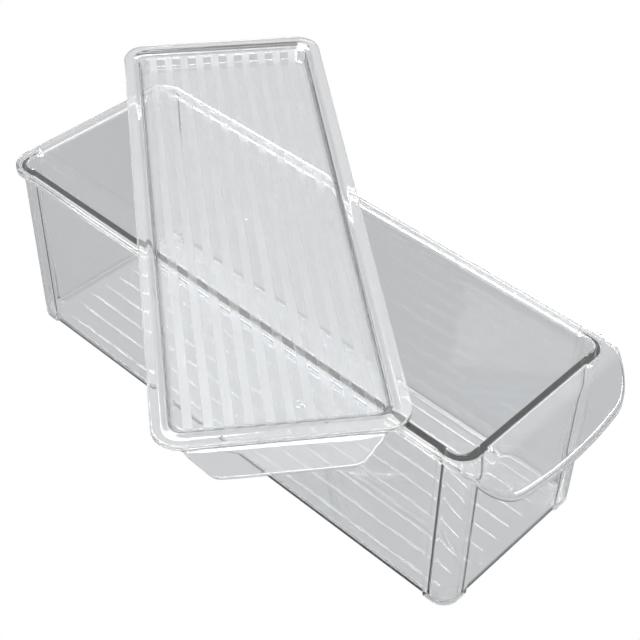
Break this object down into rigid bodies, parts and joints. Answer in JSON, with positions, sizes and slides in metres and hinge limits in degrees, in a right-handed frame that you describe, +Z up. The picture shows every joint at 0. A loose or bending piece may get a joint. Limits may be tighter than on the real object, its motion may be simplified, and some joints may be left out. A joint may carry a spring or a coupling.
{
  "type": "fridge bin with lid",
  "caption": "Long narrow clear plastic storage bin with a sloping pull handle moulded on one end, and a loose recessed lid with a lifting tab lying slantwise on its rim.",
  "frame": {"origin": "middle of the bin's flat underside", "axes": "+Z up, -Y towards the handle end, +X to the right of someone who faces the handle"},
  "size_m": [0.2696, 0.3527, 0.1121],
  "materials": {
    "bin_plastic": "clear polished",
    "lid_plastic": "clear, with lengthwise frosted stripes on the panel"
  },
  "bodies": {
    "bin": {"bin": "bin_plastic"},
    "lid": {"lid": "lid_plastic"}
  },
  "joints": [
    {"name": "lid_lift", "type": "slide", "parent": "bin", "child": "lid", "axis": [0, 0, 1], "range_m": [0, 0.15]}
  ]
}
